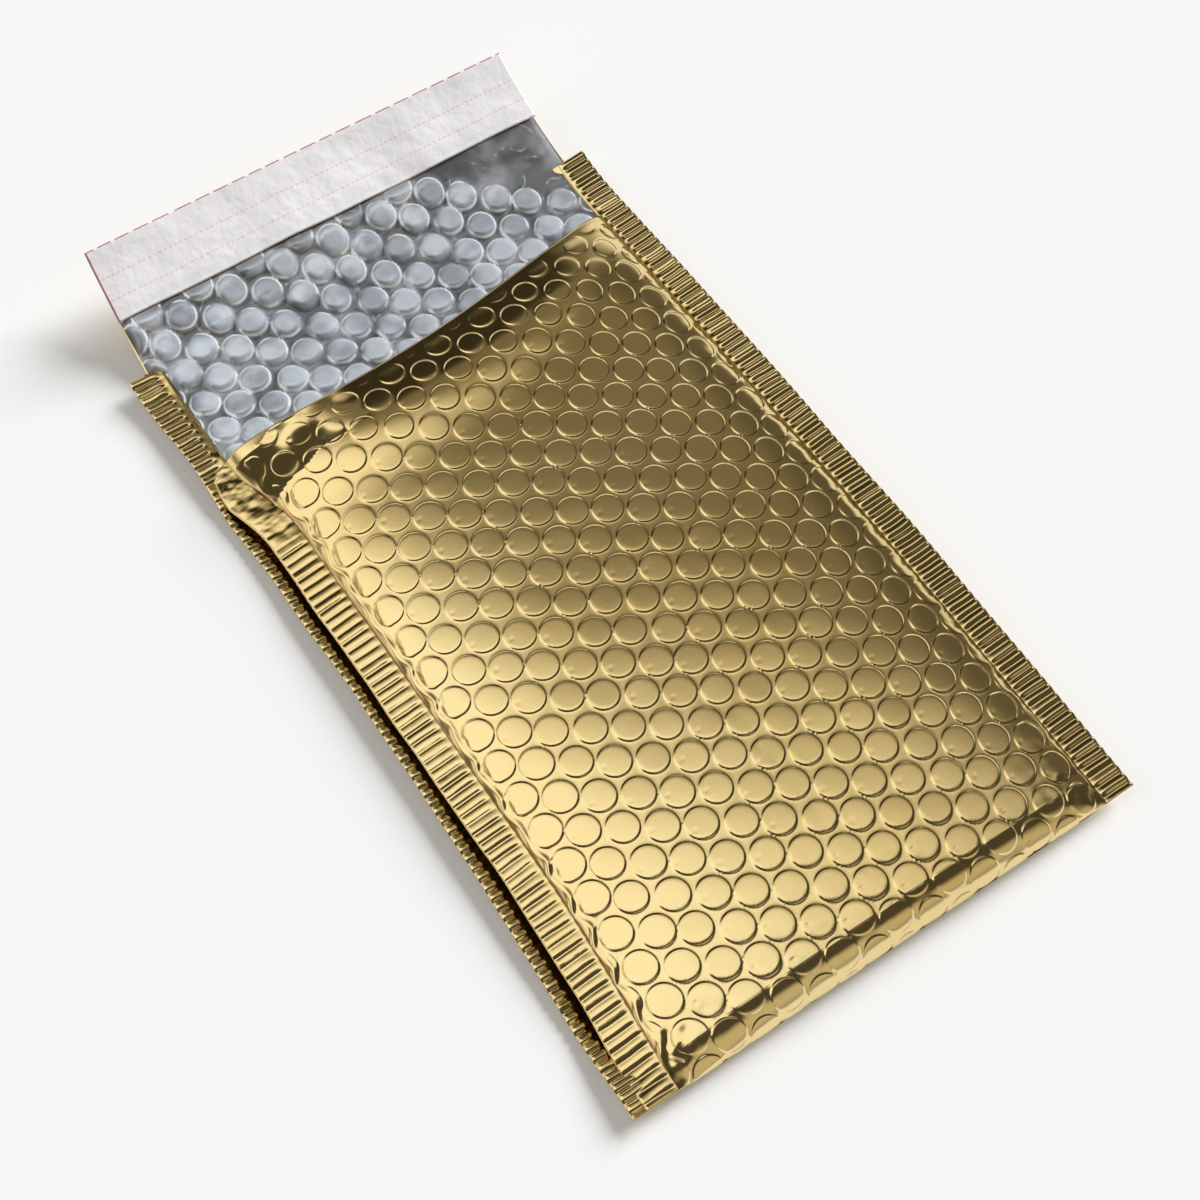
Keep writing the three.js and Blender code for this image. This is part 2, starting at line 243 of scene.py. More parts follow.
def sheetOf(name, points, marks=None, flip=False):  # a grid of points, rows by columns, in millimetres
    rows, columns, _ = points.shape
    place = (points.reshape(-1, 3) + (0, shiftY, 0)) * mm
    index = np.arange(rows * columns).reshape(rows, columns)
    a, b, c, d = index[:-1, :-1], index[:-1, 1:], index[1:, 1:], index[1:, :-1]
    faces = np.stack([a, d, c, b] if flip else [a, b, c, d], -1).reshape(-1, 4)
    mesh = bpy.data.meshes.new(name)
    mesh.vertices.add(len(place))
    mesh.vertices.foreach_set("co", place.astype(np.float32).ravel())
    mesh.loops.add(faces.size)
    mesh.loops.foreach_set("vertex_index", faces.ravel().astype(np.int32))
    mesh.polygons.add(len(faces))
    mesh.polygons.foreach_set("loop_start", np.arange(0, faces.size, 4, dtype=np.int32))
    mesh.polygons.foreach_set("use_smooth", np.ones(len(faces), bool))
    for key, value in (marks or {}).items():
        wide = value.ndim == 3
        layer = mesh.attributes.new(key, "FLOAT_VECTOR" if wide else "FLOAT", "POINT")
        layer.data.foreach_set("vector" if wide else "value", value.astype(np.float32).ravel())
    mesh.update(calc_edges=True)
    mesh.validate()
    obj = bpy.data.objects.new(name, mesh)
    bpy.context.scene.collection.objects.link(obj)
    return obj


def laidFlat(points, middle=4.0):  # the sheet's own coordinates: lengths along its rows and columns
    wide = np.linalg.norm(np.diff(points, axis=1), axis=2)
    wide = np.concatenate([np.zeros((len(points), 1)), np.cumsum(wide, 1)], 1)
    long = np.linalg.norm(np.diff(points, axis=0), axis=2)
    long = np.concatenate([np.zeros((1, points.shape[1])), np.cumsum(long, 0)], 0)
    zero = np.array([np.interp(middle, line[:, 0], run) for line, run in zip(points, wide)])
    return np.stack([wide - zero[:, None], long, np.zeros_like(wide)], -1)


# Materials
def material(name):
    made = bpy.data.materials.new(name)
    made.use_nodes = True
    made.node_tree.nodes.clear()
    return made, Net(made.node_tree)


def finish(net, shader):
    leave = net.tree.nodes.new("ShaderNodeOutputMaterial")
    net.tree.links.new(shader.socket, leave.inputs["Surface"])


# The copper colour is painted shade: a dark tone for the crease beside the left seam, for the shade and
# reflections between its folds
goldLook = dict(pale=(0.88, 0.70, 0.34, 1), deep=(0.85, 0.66, 0.30, 1), creaseShade=(0.45, 0.20, 0.10, 1),
                creaseShadeShare=0.8, cloud=14.0, scuff=260.0, fine=900.0, soft=120.0, rough=0.09, uneven=0.1,
                crinkle=0.02, rim=0.75, relief=0.2)


def goldFilm(name, pressed, look=goldLook):
    made, net = material(name)
    where = net.node("ShaderNodeTexCoord", out="Object")
    cloud = net.noise(where, look["cloud"], 3.0)
    tint = net.mixed(net.step(cloud, 0.35, 0.65), look["pale"], look["deep"])
    scuff = net.noise(where, look["scuff"], 4.0, 0.6)
    fine = net.noise(where, look["fine"], 3.0, 0.6)
    soft = net.noise(where, look["soft"], 2.0)
    height = (fine * 0.5 + soft) * look["crinkle"]
    if pressed:
        rim = net.step(net.mark("rim"), -look["rim"] / 2, look["rim"] / 2)
        height = height + rim * net.mark("room") * look["relief"] + net.mark("sag")
        # painted shade: the dark copper tone is laid along the crease beside the left seam
        tint = net.mixed(net.mark("creaseShadeMask") * look["creaseShadeShare"], tint, look["creaseShade"])
    bump = net.node("ShaderNodeBump", {}, {"Strength": 1.0, "Distance": mm, "Height": height})
    shader = net.node("ShaderNodeBsdfPrincipled", {}, {
        "Base Color": tint, "Metallic": 1.0, "Roughness": scuff * look["uneven"] + look["rough"],
        "Normal": bump})
    finish(net, shader)
    return made


# The valley colours are painted shade between the domes, and glint is a painted highlight
bubbleFilm = dict(dome=(0.60, 0.66, 0.74, 1), shade=(0.36, 0.40, 0.46, 1), valley=(0.13, 0.14, 0.15, 1),
                  pale=(0.33, 0.34, 0.37, 1), glint=(0.88, 0.91, 0.95, 1), cloud=75.0, folds=95.0, fine=400.0,
                  foldGlint=(0.95, 1.3), foldGlintShare=0.8, rimWidth=0.55, rimStray=1.6, rimBreaks=140.0,
                  rimGlintShare=0.85)


def clearBubble(look=bubbleFilm):
    made, net = material("bubbleFilm")
    where = net.node("ShaderNodeTexCoord", out="Object")
    dome = net.mark("bubble")
    cloud = net.noise(where, look["cloud"], 2.0)
    # painted shade: the flat film between the domes is made dark
    valley = net.mixed(net.step(cloud, 0.4, 0.65), look["valley"], look["pale"])
    cell = net.mixed(net.step(cloud, 0.35, 0.6), look["shade"], look["dome"])
    folds = net.node("ShaderNodeTexNoise", {"noise_type": "RIDGED_MULTIFRACTAL"}, {
        "Vector": where, "Scale": look["folds"], "Detail": 1.5, "Roughness": 0.4, "Offset": 0.9, "Gain": 1.6})
    # painted highlights: white sheen along the folds and white lines along the dome rims
    foldGlint = net.step(folds, *look["foldGlint"]) * (1.0 - dome * 0.7)
    fromRim = net.math("ABSOLUTE", net.mark("rim") + (cloud - 0.5) * look["rimStray"])
    edge = 1.0 - net.step(fromRim, look["rimWidth"] * 0.3, look["rimWidth"])
    unbroken = net.step(net.noise(where, look["rimBreaks"], 1.0), 0.4, 0.55)
    light = net.math("MAXIMUM", foldGlint * look["foldGlintShare"], edge * unbroken * look["rimGlintShare"])
    tint = net.mixed(light, net.mixed(dome, valley, cell), look["glint"])
    fine = net.noise(where, look["fine"], 2.0)
    bump = net.node("ShaderNodeBump", {}, {
        "Strength": 0.6, "Distance": 0.0008, "Height": folds * 0.35 + fine * 0.15})
    shader = net.node("ShaderNodeBsdfPrincipled", {}, {
        "Base Color": tint, "Metallic": 0.3, "Roughness": fine * 0.12 + 0.14, "Coat Weight": 0.5,
        "Coat Roughness": 0.06, "Normal": bump})
    finish(net, shader)
    return made


# Print of the liner, and a brownish line along its lower edge, by the length along it and the distance from
# the flap's end, in millimetres
linerPrint = dict(white=(0.95, 0.95, 0.98, 1), shade=(0.88, 0.88, 0.92, 1), pink=(0.86, 0.42, 0.52, 1),
                  red=(0.50, 0.10, 0.20, 1), margin=(0.42, 0.34, 0.30, 1), dashes=7.0, dots=1.9,
                  dotted=(8.3, 14.8), lineWidth=(0.12, 0.3), edge=(0.22, 0.42), end=(0.35, 0.6),
                  rim=(20.35, 20.7), crumple=45.0)


def linerPaper(look=linerPrint):
    made, net = material("releaseFilm")
    where = net.node("ShaderNodeTexCoord", out="Object")
    parts = net.parts(net.mark("ribbon", "Vector"))
    along, over, fromSide = parts, parts.of("Y"), parts.of("Z")
    drift = net.noise(where, 30.0) * 9.0
    dash = net.step(net.math("SINE", along * (2 * math.pi / look["dashes"]) + drift), -0.9, -0.6)
    dot = net.step(net.math("SINE", along * (2 * math.pi / look["dots"])), -0.5, 0.2)
    edge = 1.0 - net.step(over, *look["edge"])
    end = 1.0 - net.step(fromSide, *look["end"])
    first, second = [1.0 - net.step(net.math("ABSOLUTE", over - at), *look["lineWidth"])
                     for at in look["dotted"]]
    rim = net.step(over, *look["rim"])
    cloud = net.step(net.noise(where, 25.0, 3.0), 0.3, 0.7)
    tint = net.mixed(cloud, look["white"], look["shade"])
    tint = net.mixed((first + second) * dot * 0.55, tint, look["pink"])
    tint = net.mixed(net.math("MAXIMUM", edge * dash, end * 0.8), tint, look["red"])
    # the margin colour makes a brownish line along the strip's lower edge
    tint = net.mixed(rim * 0.7, tint, look["margin"])
    crumple = net.noise(where, look["crumple"], 4.0, 0.55)
    bump = net.node("ShaderNodeBump", {}, {"Strength": 0.6, "Distance": 0.003, "Height": crumple})
    shader = net.node("ShaderNodeBsdfPrincipled", {}, {
        "Base Color": tint, "Roughness": crumple * 0.15 + 0.3, "Coat Weight": 0.25, "Coat Roughness": 0.2,
        "Normal": bump})
    finish(net, shader)
    return made


gluePaint = dict(pale=(0.78, 0.74, 0.62, 1), deep=(0.70, 0.65, 0.50, 1), spots=120.0)


def gluePaste(look=gluePaint):
    made, net = material("glue")
    where = net.node("ShaderNodeTexCoord", out="Object")
    spots = net.noise(where, look["spots"], 3.0)
    tint = net.mixed(spots, look["pale"], look["deep"])
    bump = net.node("ShaderNodeBump", {}, {"Strength": 0.3, "Distance": 0.0005, "Height": spots})
    shader = net.node("ShaderNodeBsdfPrincipled", {}, {
        "Base Color": tint, "Roughness": spots * 0.2 + 0.35, "Normal": bump})
    finish(net, shader)
    return made


gold = goldFilm("goldFilm", pressed=True)
sealed = goldFilm("sealedFilm", pressed=False)
bubbleLook = clearBubble()
linerLook = linerPaper()
glueLook = gluePaste()
print("materials made")

# Bubbles pressed through a sheet. The tree lays out a lattice in the sheet's own coordinates and lifts
# a flat-topped disc at each of its points. Most bubbles have a small dent off their middle.
dent = dict(x=-2.9, y=-1.0, strayX=1.0, strayY=1.8, radius=0.9, without=0.35)


def embossTree():
    vectors = ["Origin", "Column step", "Row step", "Column bend", "Row bend", "Cross bend"]
    counts = ["Columns", "Rows", "First row"]
    lengths = ["Radius", "Rim", "Relief", "Crown", "Nick", "Tilt", "Jitter", "Slack"]
    net, entry = opened("embossBubbles", [(title, "Vector") for title in vectors]
                        + [(title, "Int") for title in counts] + [(title, "Float") for title in lengths]
                        + [("Seed", "Int"), ("Material", "Material")])
    index = net.node("GeometryNodeInputIndex")
    columns = entry.of("Columns")
    row = net.math("FLOOR", (index + 0.5) / columns)
    column = index - row * columns
    row = row + entry.of("First row")
    spot = entry.of("Origin")
    for part, factor in (("Column step", column), ("Row step", row), ("Column bend", column * column),
                         ("Row bend", row * row), ("Cross bend", row * column)):
        spot = net.vector("ADD", spot, net.scaled(entry.of(part), factor))
    stray = net.node("FunctionNodeRandomValue", {"data_type": "FLOAT_VECTOR"},
                     {"Min": (-1, -1, 0), "Max": (1, 1, 0), "ID": index, "Seed": entry.of("Seed")})
    spot = net.vector("ADD", spot, net.scaled(stray, entry.of("Jitter")))
    lattice = net.node("GeometryNodePoints", {}, {"Count": columns * entry.of("Rows"), "Position": spot})
    sheet = net.stored("sheet", "FLOAT_VECTOR")
    room = net.stored("room")
    nearest = net.node("GeometryNodeProximity", {"target_element": "POINTS"},
                       {0: lattice, "Sample Position": sheet})
    distance = nearest.of("Distance")
    chance = net.node("ShaderNodeTexWhiteNoise", {"noise_dimensions": "3D"}, {"Vector": nearest})
    chances = net.parts(chance.of("Color"))
    size = entry.of("Radius") * net.stored("girth") * (0.97 + 0.05 * chances)
    rim = entry.of("Rim")
    top = 1.0 - net.step(distance, size - rim * 0.5, size + rim * 0.5)
    bulge = (1.0 - (distance / size) ** 2.0) * top * entry.of("Crown")
    away = net.vector("SUBTRACT", sheet, nearest)
    sides = net.parts(away)
    lean = (sides * (chances - 0.5) + sides.of("Y") * (chances.of("Y") - 0.5)) * entry.of("Tilt") * top
    dentAt = net.node("ShaderNodeCombineXYZ", {}, {0: dent["x"] - chances.of("Z") * dent["strayX"],
                                                   1: dent["y"] + chances.of("Y") * dent["strayY"]})
    fromDent = net.vector("LENGTH", net.vector("SUBTRACT", away, dentAt), out="Value")
    nick = (1.0 - net.step(fromDent, 0.0, dent["radius"])) * entry.of("Nick") * (chances > dent["without"])
    lift = ((top * entry.of("Relief") + bulge + lean - nick) * room) * mm
    place = net.node("GeometryNodeInputPosition")
    sway = (net.noise(place, 28.0, 2.0, 0.5) - 0.5) * entry.of("Slack") * mm
    offset = net.scaled(net.node("GeometryNodeInputNormal"), lift + sway)
    kept = net.keep(entry, "bubble", top * room)
    kept = net.keep(kept, "rim", size - distance)
    moved = net.node("GeometryNodeSetPosition", {}, {"Geometry": kept, "Offset": offset})
    return closed(net, moved, entry)


# Ridges pressed across a sealed edge, by the length along it
def crimpTree():
    lengths = ["Pitch", "Depth", "Groove", "Wander", "Crumple", "Round", "Seed"]
    net, entry = opened("crimpRidges", [(title, "Float") for title in lengths] + [("Material", "Material")])
    seed = entry.of("Seed")
    parts = net.parts(net.stored("sheet", "FLOAT_VECTOR"))
    where = net.node("ShaderNodeCombineXYZ", {}, {0: parts * 0.06, 1: parts.of("Y") * 0.05, 2: seed})
    drift = (net.noise(where, 1.0, 2.0) - 0.5) * entry.of("Wander")
    turn = parts.of("Y") / entry.of("Pitch") + drift
    saw = net.math("ABSOLUTE", net.math("FRACT", turn) - 0.5) * 2.0
    land = net.step(saw, 0.0, entry.of("Groove"))  # flat lands, and below the share of rounded ones
    rounding = entry.of("Round")
    land = land * (1.0 - rounding) + (1.0 - (1.0 - saw) ** 2.0) * rounding
    number = net.math("FLOOR", turn)
    uneven = net.node("ShaderNodeTexWhiteNoise", {"noise_dimensions": "1D"}, {"W": number + seed})
    ridge = (land - 0.5) * entry.of("Depth") * net.stored("room") * (0.75 + 0.5 * uneven)
    place = net.node("GeometryNodeInputPosition")
    crumple = (net.noise(place, 110.0, 3.0, 0.6) - 0.5) * entry.of("Crumple") * net.stored("girth")
    wave = (net.noise(place, 35.0, 1.0) - 0.5) * 0.5
    offset = net.scaled(net.node("GeometryNodeInputNormal"), (ridge + crumple + wave) * mm)
    moved = net.node("GeometryNodeSetPosition", {}, {"Geometry": entry, "Offset": offset})
    return closed(net, moved, entry)


emboss = embossTree()
crimp = crimpTree()
print("trees built")

# Front of the film, from the middle of the bottom fold to the mouth
front = dict(columns=238, foldRows=18, rows=392, bulge=2.0, bulgeAt=20.0, bulgeWidth=11.5, lip=0.9,
             lipPast=2.0, lipWidth=6.0, full=2.5, run=26.0, wave=12.1, pucker=0.55, puckerAt=1.9,
             puckerSway=0.6, puckerWidth=0.75, trough=0.7, troughAt=2.1, troughWidth=1.2, creaseAt=0.8,
             creaseSway=0.35, creaseWidth=0.4, crumple=0.3, cornerAt=4.0, leftCorner=11.0, rightCorner=14.0,
             pinch=0.2, band=1.5, bandRun=6.0, leftBand=2.6, leftRun=1.7, rightBand=1.0, rightRun=4.5,
             topGirth=0.86, girthRun=55.0)
filmBubbles = {
    "Origin": (-76.79, 247.86, 0.0), "Column step": (8.8119, -5.5145, 0.0),
    "Row step": (-0.0335, -12.787, 0.0), "Column bend": (0.0223, -0.0111, 0.0),
    "Row bend": (0.0028, 0.0326, 0.0), "Cross bend": (0.03955, 0.02118, 0.0), "Columns": 18, "Rows": 34,
    "First row": -9, "Radius": 4.95, "Rim": 1.0, "Relief": 0.13, "Crown": 0.05, "Nick": 0.12, "Tilt": 0.02,
    "Jitter": 0.3, "Slack": 0.45, "Seed": 4, "Material": gold}

# Slack of the front that only bends its reflections: the left corner of the mouth, right of the mouth's
# middle, and the bottom fold
slack = dict(corner=7.0, cornerFrom=221.5, cornerRun=17.0, cornerSlant=9.0, slantFrom=-0.9, cornerTo=-0.42,
             cornerFade=0.22, cornerNoise=0.8, middle=0.8, middleFrom=220.0, middleRun=14.0, middleAt=0.58,
             middleWidth=0.16, fold=1.7, foldRun=8.0)


def frontRows(mouthLine, count, foldCount):  # Y of each row from the fold to the mouth, by column
    turned = fill["fold"] * (1 - np.cos(np.linspace(0, math.pi / 2, foldCount + 1)))
    on = np.linspace(0, 1, count + 1)[1:]
    rest = fill["fold"] + on[:, None] * (mouthLine[None, :] - fill["fold"])
    return np.concatenate([np.repeat(turned[:, None], len(mouthLine), 1), rest], 0)


def shares(count):  # places across the sheet, closer together at both sides
    even = np.linspace(-1, 1, count + 1)
    return 0.45 * even + 0.55 * np.sin(even * math.pi / 2)


def atMouth(z, s, toMouth):  # the bulge below the mouth and the dip of its lip
    bulge = front["bulge"] * hill(toMouth - front["bulgeAt"], front["bulgeWidth"]) * crown(s)
    lip = front["lip"] * hill(toMouth + front["lipPast"], front["lipWidth"]) * crown(s)
    return z + bulge - lip


def frontSlack(x, y, s):
    slant = slack["cornerSlant"] * (s - slack["slantFrom"])
    noise = slack["cornerNoise"] * smoothNoise(x, y, 14.0, 22)
    climb = clamp((y - slack["cornerFrom"] - slant - noise) / slack["cornerRun"])
    middle = slack["middle"] * ease((y - slack["middleFrom"]) / slack["middleRun"]) \
        * hill(s - slack["middleAt"], slack["middleWidth"])
    return slack["corner"] * climb * ease((slack["cornerTo"] - s) / slack["cornerFade"]) + middle \
        + slack["fold"] * ease((y - 1) / slack["foldRun"])


def hemmed(values, share=1):  # two more rows, for the edge that is turned in at the mouth
    return np.concatenate([values, values[-1:] * share, values[-1:] * share], 0)


def filmFront():
    share = shares(front["columns"])
    line = mouthAt(across(share, mouth["near"]))
    for _ in range(3):  # the seam leans, so the mouth is found in a few rounds
        line = mouthAt(across(share, line))
    y = frontRows(line, front["rows"], front["foldRows"])
    s = np.repeat(share[None, :], len(y), 0)
    x = across(s, y)
    toMouth = line[None, :] - y
    inLeft = x - leftSeam(y)
    inRight = seams["right"] - x
    turn = 2 * math.pi * y / front["wave"]
    fromMouth = ease(toMouth / front["run"])
    z = atMouth(frontHeight(s, y), s, toMouth)
    z += front["full"] * (1 - fromMouth) * (1 - np.abs(s) ** 14) * np.abs(s) ** 3 * (s < 0)
    sway = front["puckerAt"] + front["puckerSway"] * np.sin(turn + 0.6) + 0.5 * smoothNoise(0, y, 9.0, 3)
    roll = front["pucker"] * (0.75 + 0.35 * np.sin(turn + 2.1)) * fromMouth
    trough = front["trough"] * hill(inLeft - sway - front["troughAt"], front["troughWidth"])
    z += roll * (hill(inLeft - sway, front["puckerWidth"]) - trough)
    corner = hill(np.hypot(inLeft, y - 2) - front["cornerAt"], front["leftCorner"]) \
        + hill(np.hypot(inRight, y - 2) - front["cornerAt"], front["rightCorner"])
    z += front["crumple"] * corner * smoothNoise(x + y, x - y, 9.0, 8) * foldShare(y)
    pinch = hill(inRight - 3, 3.0) * ease(y / 20)
    z += front["pinch"] * pinch * smoothNoise(x * 0.4, y, 7.0, 5)
    top = np.stack([x, y, z], -1)
    room = ease((toMouth - front["band"]) / front["bandRun"]) \
        * ease((inLeft - front["leftBand"]) / front["leftRun"]) \
        * ease((inRight - front["rightBand"]) / front["rightRun"])
    # where the gold material paints shade into the crease beside the left seam
    fromCrease = inLeft - front["creaseAt"] - front["creaseSway"] * np.sin(turn)
    creaseShadeMask = hill(fromCrease, front["creaseWidth"]) * ease(toMouth / 20) * ease(y / 6)
    girth = blend(front["topGirth"], 1.0, ease(toMouth / front["girthRun"]))
    lip = top[-1:] + (0, -0.15, -0.45)
    under = lip + (0, -2.0, 0.1)
    points = np.concatenate([top, lip, under], 0)
    marks = {"sheet": hemmed(laidFlat(top)), "room": hemmed(room, 0), "girth": hemmed(girth),
             "creaseShadeMask": hemmed(creaseShadeMask, 0), "sag": hemmed(frontSlack(x, y, s))}
    return baked(sheetOf("filmFront", points, marks), emboss, filmBubbles)


# Back of the film: the other half of the fold, the back panel and the outside of the flap
back = dict(columns=170, foldRows=12, rows=320, wave=0.3, waveScale=45.0, edge=2.0, edgeRun=6.0)
backBubbles = {
    **filmBubbles, "Origin": (-85.0, 0.0, 0.0), "Column step": (9.5, 5.9, 0.0), "Row step": (0.0, 12.1, 0.0),
    "Column bend": (0.0, 0.0, 0.0), "Row bend": (0.0, 0.0, 0.0), "Cross bend": (0.0, 0.0, 0.0),
    "Columns": 19, "Rows": 42, "First row": -11, "Relief": 0.14, "Crown": 0.04, "Nick": 0.15, "Slack": 0.5,
    "Seed": 9}


def filmBack():
    share = shares(back["columns"])
    y = frontRows(np.full(len(share), body["length"]), back["rows"], back["foldRows"])
    s = np.repeat(share[None, :], len(y), 0)
    x = across(s, y)
    z = backHeight(s, y)
    z += back["wave"] * (1 + smoothNoise(x, y, back["waveScale"], 2)) * ease((1 - np.abs(s)) * 6) \
        * foldShare(y) * ease((y - fill["fold"]) / 10)
    points = np.stack([x, y, z], -1)
    inside = np.minimum(x - leftSeam(y), seams["right"] - x)
    room = ease((inside - back["edge"]) / back["edgeRun"]) * ease((body["length"] - y - 1) / 4)
    marks = {"sheet": laidFlat(points), "room": room, "girth": np.ones_like(room)}
    return baked(sheetOf("filmBack", points, marks, flip=True), emboss, backBubbles)


flap = dict(columns=190, rows=52, start=body["length"] - 5.0, rest=0.1, wave=0.15, shift=3.0, relief=0.1,
            thickness=0.2)


def flapSide(y):
    return blend(body["flapRoot"], body["flapEnd"], clamp((y - body["length"]) / body["flap"])) / 2


def flapGrid(inset, start, end, columns, rows):
    y = np.linspace(start, end, rows + 1)[:, None] * np.ones((1, columns + 1))
    x = np.linspace(-1, 1, columns + 1)[None, :] * (flapSide(y) - inset)
    return x, y


def filmFlap():
    x, y = flapGrid(0.0, flap["start"], total, flap["columns"], flap["rows"])
    z = rise(y) + flap["rest"] + flap["wave"] * (1 + smoothNoise(x, y, 40.0, 6))
    points = np.stack([x, y, z], -1)
    edge = np.minimum(flapSide(y) - np.abs(x), total - y)
    marks = {"sheet": laidFlat(points) + (0, flap["start"] + flap["shift"], 0), "room": ease((edge - 1) / 4),
             "girth": np.ones_like(x)}
    bubbles = {**backBubbles, "Relief": flap["relief"]}
    return baked(sheetOf("filmFlap", points, marks, flip=True), emboss, bubbles, flap["thickness"])


# Sealed and crimped edges. They lap the panels a little inside each seam.
edges = dict(step=0.42, ply=0.32, lap=1.0, clear=0.8, clearRun=1.2, gapeRun=34.0)


def leftOuter(y):
    return -half + seams["bow"] * np.sin(math.pi * clamp(y / body["length"]))


def gape(y):  # how far the two left edges stand apart, 1 at the middle
    return ease(y / edges["gapeRun"]) * ease((mouth["length"] - y) / edges["gapeRun"])


def stripGrid(end, columns):
    rows = int(end / edges["step"])
    y = np.linspace(0.0, end, rows + 1)[:, None] * np.ones((1, columns + 1))
    out = np.linspace(0, 1, columns + 1)[None, :] * np.ones((rows + 1, 1))
    return y, out


def strip(name, x, y, z, reach, room, loose, ridges):
    marks = {"sheet": np.stack([reach, y, np.zeros_like(y)], -1), "room": room, "girth": loose}
    made = sheetOf(name, np.stack([x, y, z], -1), marks, flip=bool(x[0, 1] < x[0, 0]))
    return baked(made, crimp, ridges, edges["ply"])


rightEdge = dict(columns=12, wander=0.25, stand=0.1, curl=1.5, looseFrom=7.0, looseRun=3.0)
rightRidges = {"Pitch": 3.4, "Depth": 0.58, "Groove": 0.95, "Wander": 0.5, "Crumple": 0.3, "Round": 0.0,
               "Seed": 2.0, "Material": sealed}


def flangeRight():
    y, out = stripGrid(body["length"], rightEdge["columns"])
    inner = seams["right"] - edges["lap"]
    x = blend(inner, half + rightEdge["wander"] * smoothNoise(0, y, 60.0, 11), out)
    z = rise(y) + seamLift(y) + rightEdge["stand"] + rightEdge["curl"] * out
    reach = np.abs(x - inner)
    room = ease((reach - edges["clear"]) / edges["clearRun"])
    loose = 0.4 + 0.6 * ease((reach - rightEdge["looseFrom"]) / rightEdge["looseRun"])
    return strip("flangeRight", x, y, z, reach, room, loose, rightRidges)


backEdge = dict(columns=13, bow=0.9, wander=0.3, stand=0.35, drop=4.6, upturn=1.3, seamEnd=235.0, knot=236.0)
backRidges = {"Pitch": 3.4, "Depth": 0.7, "Groove": 0.7, "Wander": 0.8, "Crumple": 0.8, "Round": 0.0,
              "Seed": 8.0, "Material": sealed}


def flangeLeftBack():
    y, out = stripGrid(body["length"], backEdge["columns"])
    inner = leftSeam(y) + edges["lap"]
    outer = leftOuter(y) - backEdge["bow"] * gape(y) + backEdge["wander"] * smoothNoise(0, y, 40.0, 12)
    x = blend(inner, outer, out)
    drop = backEdge["stand"] + backEdge["drop"] * np.sin(math.pi / 2 * clamp(out * 1.5)) \
        - backEdge["upturn"] * ease(out * 2 - 1)
    z = rise(y) + seamLift(y) - gape(y) * drop
    reach = np.abs(x - inner)
    clear = blend(edges["clear"], 2.2, ease((y - backEdge["seamEnd"]) / 10))
    room = ease((reach - clear) / edges["clearRun"]) * (1 - 0.75 * hill(y - backEdge["knot"], 7))
    loose = 0.5 + 2.2 * hill(y - backEdge["knot"], 10) + 0.6 * hill(reach - 1.5, 1.5)
    return strip("flangeLeftBack", x, y, z, reach, room, loose, backRidges)


frontEdge = dict(columns=12, width=10.0, farthest=-80.0, wander=0.2, taper=4.0, taperFrom=226.0,
                 taperRun=16.0, closed=0.5, open=1.15, droop=2.0, ridgesEnd=204.0, crumpleFrom=203.0,
                 short=8.5)
frontRidges = {"Pitch": 3.35, "Depth": 0.33, "Groove": 0.38, "Wander": 0.35, "Crumple": 1.3, "Round": 0.9,
               "Seed": 5.0, "Material": sealed}


def flangeLeftFront():
    y, out = stripGrid(mouth["length"] - frontEdge["short"], frontEdge["columns"])
    inner = leftSeam(y) + edges["lap"]
    outer = np.minimum(leftSeam(y) - frontEdge["width"], frontEdge["farthest"]) \
        + frontEdge["wander"] * smoothNoise(0, y, 30.0, 13) \
        + frontEdge["taper"] * ease((y - frontEdge["taperFrom"]) / frontEdge["taperRun"])
    x = blend(inner, outer, out)
    z = rise(y) + seamLift(y) + blend(frontEdge["closed"], frontEdge["open"], gape(y)) \
        - frontEdge["droop"] * ease(y / 12) * out
    reach = np.abs(x - inner)
    room = ease((reach - edges["clear"]) / edges["clearRun"]) * (1 - ease((y - frontEdge["ridgesEnd"]) / 5))
    loose = 0.25 + 1.6 * ease((y - frontEdge["crumpleFrom"]) / 8)
    return strip("flangeLeftFront", x, y, z, reach, room, loose, frontRidges)


# The lining: one bubble sheet that lies on the back inside, comes out of the mouth and covers the flap
lining = dict(columns=176, rows=340, frontColumns=120, frontRows=200, frontFoldRows=10, lift=1.7, start=10.0,
              short=0.6, inset=1.2, flapInset=0.5, flapFrom=283.0, flapRun=5.0, sideTuck=1.2, endTuck=0.9,
              flatAt=24.0, flat=0.93, halfWidth=80.0, frontInset=1.0, belowMouth=0.7, frontStart=1.2)
liningBubbles = {
    **backBubbles, "Origin": (-79.9, 54.9, 0.0), "Column step": (9.4, -6.1, 0.0),
    "Row step": (0.0, -12.2, 0.0), "First row": -26, "Radius": 4.9, "Rim": 2.3, "Relief": 1.5,
    "Crown": 0.12, "Nick": 0.25, "Tilt": 0.09, "Jitter": 0.5, "Slack": 1.0, "Seed": 21,
    "Material": bubbleLook}


def liningBack():
    y = np.linspace(lining["start"], total - lining["short"], lining["rows"] + 1)[:, None] \
        * np.ones((1, lining["columns"] + 1))
    s = np.linspace(-1, 1, lining["columns"] + 1)[None, :] * np.ones_like(y)
    share = ease((y - lining["flapFrom"]) / lining["flapRun"])
    x = blend(across(s, y, lining["inset"]), s * (flapSide(y) - lining["flapInset"]), share)
    lift = lining["lift"]
    inBody = np.minimum(y, body["length"])
    level = blend(backHeight(s, inBody, lift) - rise(inBody) + rise(y), rise(y) + lift, share)
    edge = np.where(share > 0.5, flapSide(y) - np.abs(x), 9.0)
    z = level - lining["sideTuck"] * (1 - ease(edge / 2.5)) * share \
        - lining["endTuck"] * (1 - ease((total - y) / 3))
    underLiner = ease((y - (total - lining["flatAt"])) / 3)
    room = ease((1 - np.abs(s)) * lining["halfWidth"] / 3.5) * (1 - lining["flat"] * underLiner)
    marks = {"sheet": np.stack([x, y, 0 * y], -1), "room": room, "girth": np.ones_like(room)}
    return baked(sheetOf("bubbleLining", np.stack([x, y, z], -1), marks), emboss, liningBubbles)


